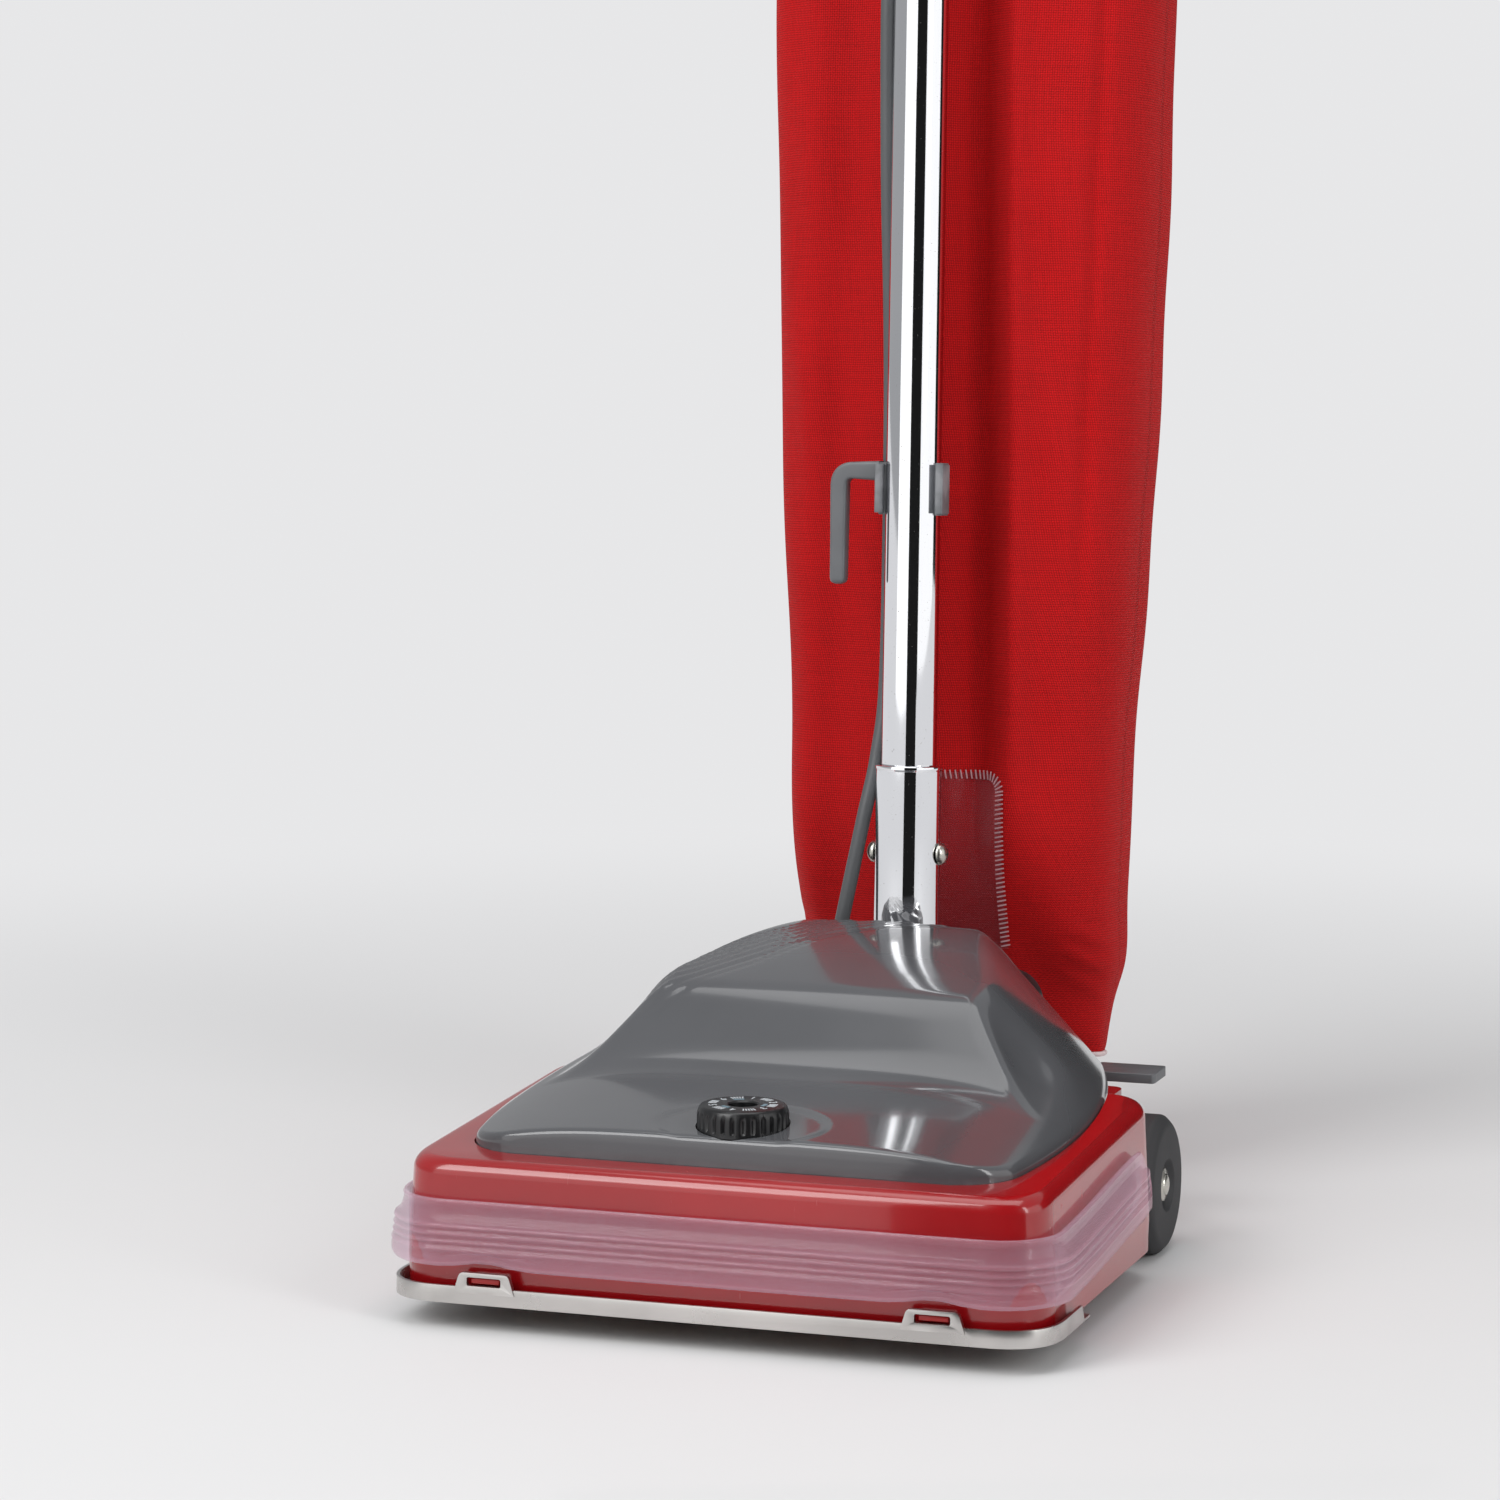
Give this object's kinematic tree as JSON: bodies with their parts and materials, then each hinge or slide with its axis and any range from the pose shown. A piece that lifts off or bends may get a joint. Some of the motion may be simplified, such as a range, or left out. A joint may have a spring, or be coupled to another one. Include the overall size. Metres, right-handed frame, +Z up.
{
  "type": "upright vacuum cleaner",
  "caption": "Upright vacuum cleaner: nozzle base with motor, fan and brush roll, a tilting tube handle with cord hooks, and an outside cloth dust bag.",
  "frame": {"origin": "on the floor, midway between the two rear wheels, below their axle", "axes": "+Z up; -Y towards the front edge of the nozzle; +X to the machine's right side as seen from the front by a viewer facing it"},
  "size_m": [0.33, 0.5163, 1.169],
  "materials": {
    "red_casting": "glossy red enamel look",
    "grey_hood": "glossy dark grey",
    "grey_plastic": "satin mid grey",
    "black_plastic": "satin black",
    "black_rubber": "matt",
    "clear_vinyl": "soft clear vinyl with a faint purple tint",
    "chrome_tube": "polished chrome",
    "steel_sheet": "stamped sheet steel",
    "steel_bar": "plain steel",
    "motor_iron": "varnished laminations and copper windings",
    "brush_gear": "brass",
    "aluminium_fan": "cast",
    "wooden_roll": "lacquered dowel",
    "bristle": "black nylon bristles",
    "bag_fabric": "woven red cloth",
    "bag_paper": "brown filter paper",
    "cord_jacket": "dark grey cord jacket"
  },
  "bodies": {
    "base": {"base_housing": "red_casting", "hood": "grey_hood", "furniture_guard": "clear_vinyl", "bottom_plate": "steel_sheet", "brush_bearing_right": "black_plastic", "brush_bearing_left": "black_plastic", "rear_axle_right": "steel_bar", "rear_axle_left": "steel_bar", "brush_holder_right": "brush_gear", "brush_holder_left": "brush_gear", "carbon_brush_right": "black_rubber", "carbon_brush_left": "black_rubber", "drive_belt": "black_rubber", "motor_field": "motor_iron", "motor_frame": "steel_bar", "fan_cover": "aluminium_fan", "top_bearing": "steel_bar", "lower_bearing": "steel_bar", "pedal_pin": "steel_bar", "exhaust_duct": "black_plastic", "strain_relief": "black_rubber", "power_cord_lower": "cord_jacket", "handle_pivot_pin": "steel_bar"},
    "motor_rotor": {"armature": "motor_iron", "fan_impeller": "aluminium_fan", "motor_pulley": "steel_bar"},
    "brush": {"brush_roll": "wooden_roll", "bristle_strip_a_right": "bristle", "bristle_strip_b_right": "bristle", "bristle_strip_a_left": "bristle", "bristle_strip_b_left": "bristle"},
    "wheel_rear_right": {"rear_wheel_right": "black_rubber"},
    "wheel_rear_left": {"rear_wheel_left": "black_rubber"},
    "dial": {"height_knob": "black_plastic"},
    "carriage": {"wheel_carriage": "steel_bar"},
    "wheel_front_right": {"front_wheel_right": "black_plastic"},
    "wheel_front_left": {"front_wheel_left": "black_plastic"},
    "pedal": {"release_pedal": "grey_plastic"},
    "latch_right": {"plate_latch_right": "steel_sheet"},
    "latch_left": {"plate_latch_left": "steel_sheet"},
    "handle": {"handle_bail": "steel_bar", "lower_socket": "chrome_tube", "main_tube": "chrome_tube", "socket_screw_right": "steel_bar", "socket_screw_left": "steel_bar", "lower_cord_hook": "grey_plastic", "upper_hook_clip": "grey_plastic", "upper_tube": "chrome_tube", "hand_grip": "grey_plastic", "switch_housing": "black_plastic", "power_cord_upper": "cord_jacket", "bag_cloth": "bag_fabric", "paper_bag": "bag_paper", "bag_pocket": "clear_vinyl", "bag_clip": "grey_plastic", "bag_spring": "steel_bar", "bag_hanger": "steel_bar"},
    "cord_hook": {"upper_cord_hook": "grey_plastic"},
    "switch": {"switch_rocker": "black_plastic"}
  },
  "joints": [
    {"name": "motor_spin", "type": "hinge", "parent": "base", "child": "motor_rotor", "pos_m": [0, -0.052, 0.04], "axis": [0, 0, 1], "continuous": true},
    {"name": "brush_spin", "type": "hinge", "parent": "base", "child": "brush", "pos_m": [0, -0.221, 0.0386], "axis": [1, 0, 0], "continuous": true},
    {"name": "rear_wheel_right_spin", "type": "hinge", "parent": "base", "child": "wheel_rear_right", "pos_m": [0.1385, 0, 0.034], "axis": [1, 0, 0], "continuous": true},
    {"name": "rear_wheel_left_spin", "type": "hinge", "parent": "base", "child": "wheel_rear_left", "pos_m": [-0.1385, 0, 0.034], "axis": [1, 0, 0], "continuous": true},
    {"name": "height_dial_turn", "type": "hinge", "parent": "base", "child": "dial", "pos_m": [0, -0.205, 0.09], "axis": [0, 0, 1], "range_deg": [-135, 135]},
    {"name": "wheel_carriage_tilt", "type": "hinge", "parent": "base", "child": "carriage", "pos_m": [0, -0.14, 0.06], "axis": [1, 0, 0], "range_deg": [-6, 6], "stiffness_Nm_per_rad": 6},
    {"name": "front_wheel_right_spin", "type": "hinge", "parent": "carriage", "child": "wheel_front_right", "pos_m": [0.058, -0.172, 0.013], "axis": [1, 0, 0], "continuous": true},
    {"name": "front_wheel_left_spin", "type": "hinge", "parent": "carriage", "child": "wheel_front_left", "pos_m": [-0.058, -0.172, 0.013], "axis": [1, 0, 0], "continuous": true},
    {"name": "pedal_press", "type": "hinge", "parent": "base", "child": "pedal", "pos_m": [0.084, 0.074, 0.072], "axis": [0, 1, 0], "range_deg": [0, 12], "stiffness_Nm_per_rad": 0.3},
    {"name": "plate_latch_right_turn", "type": "hinge", "parent": "base", "child": "latch_right", "pos_m": [0.074, 0.032, 0.0112], "axis": [0, 0, 1], "range_deg": [-90, 0]},
    {"name": "plate_latch_left_turn", "type": "hinge", "parent": "base", "child": "latch_left", "pos_m": [-0.074, 0.032, 0.0112], "axis": [0, 0, 1], "range_deg": [0, 90]},
    {"name": "handle_tilt", "type": "hinge", "parent": "base", "child": "handle", "pos_m": [0, 0.042, 0.062], "axis": [-1, 0, 0], "range_deg": [0, 70], "stiffness_Nm_per_rad": 10},
    {"name": "cord_hook_swivel", "type": "hinge", "parent": "handle", "child": "cord_hook", "pos_m": [-0.035, 0.0861, 0.85077], "axis": [1, 0, 0], "range_deg": [0, 180]},
    {"name": "power_switch", "type": "hinge", "parent": "handle", "child": "switch", "pos_m": [0, 0.06652, 0.95202], "axis": [1, 0, 0], "range_deg": [-6, 6]}
  ],
  "couplings": [
    {"joint": "brush_spin", "follows": "motor_spin", "ratio": 0.5},
    {"joint": "wheel_carriage_tilt", "follows": "height_dial_turn", "ratio": 0.04}
  ]
}
